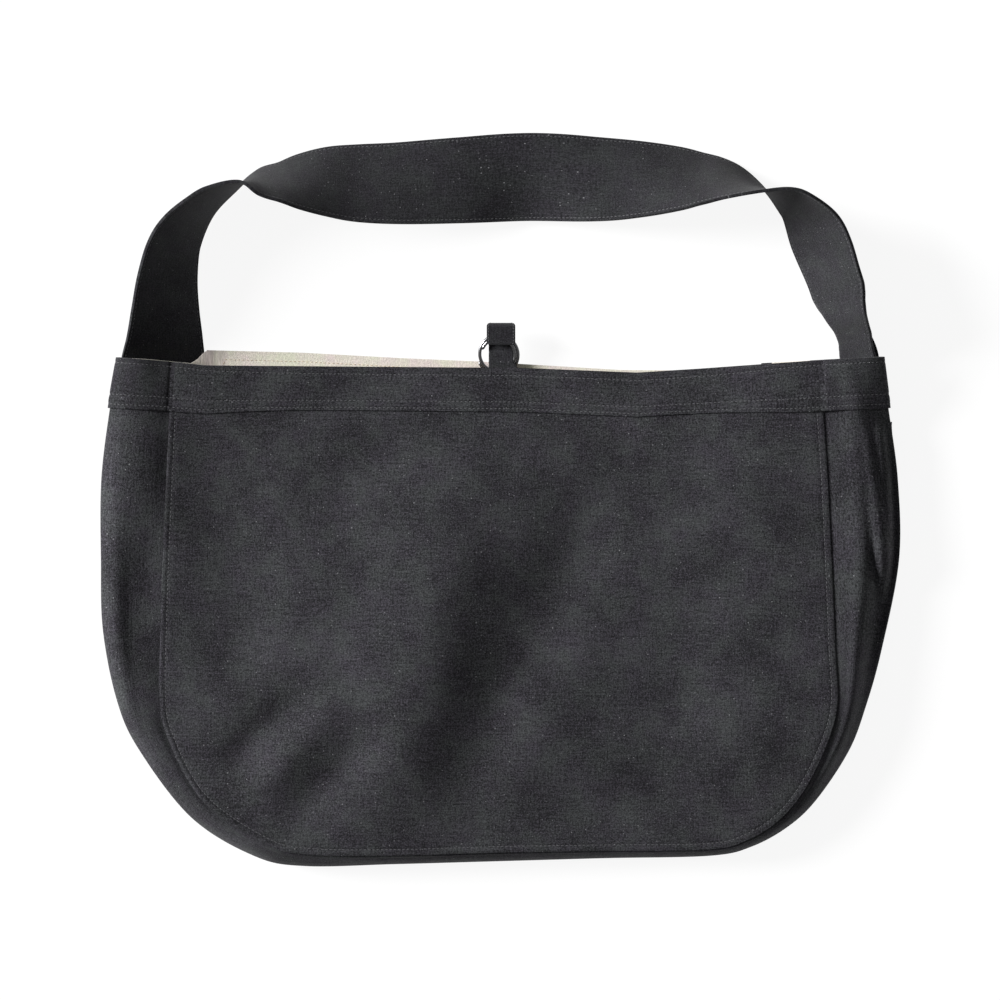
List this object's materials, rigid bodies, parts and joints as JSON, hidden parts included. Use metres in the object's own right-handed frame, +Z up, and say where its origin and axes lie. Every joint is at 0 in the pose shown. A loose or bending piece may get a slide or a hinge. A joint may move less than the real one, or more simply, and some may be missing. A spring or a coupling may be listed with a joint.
{
  "type": "newspaper delivery bag",
  "caption": "Flat-lying denim delivery bag with a round-bottomed front panel, gusset, open mouth, facing, wide shoulder strap and a hanging ring on a tab.",
  "frame": {"origin": "middle of the bounding box's underside, on the surface the bag lies on", "axes": "+X across the bag towards its right side seen from above, +Y from the rounded bottom towards the strap, +Z up away from the surface, out of the front panel"},
  "size_m": [0.5586, 0.5126, 0.0628],
  "materials": {
    "dark_denim": "raw black denim, matte twill with a fine crosshatch",
    "strap_denim": "doubled raw black denim, matte",
    "ecru_cloth": "undyed side of the denim, matte",
    "ring_steel": "bright nickel-plated spring wire"
  },
  "bodies": {
    "root": {"front_panel": "dark_denim", "back_panel": "dark_denim", "gusset": "dark_denim", "mouth_band": "dark_denim", "mouth_facing": "ecru_cloth", "shoulder_strap": "strap_denim", "tab_loop": "dark_denim", "tab_ring": "ring_steel"}
  },
  "joints": []
}
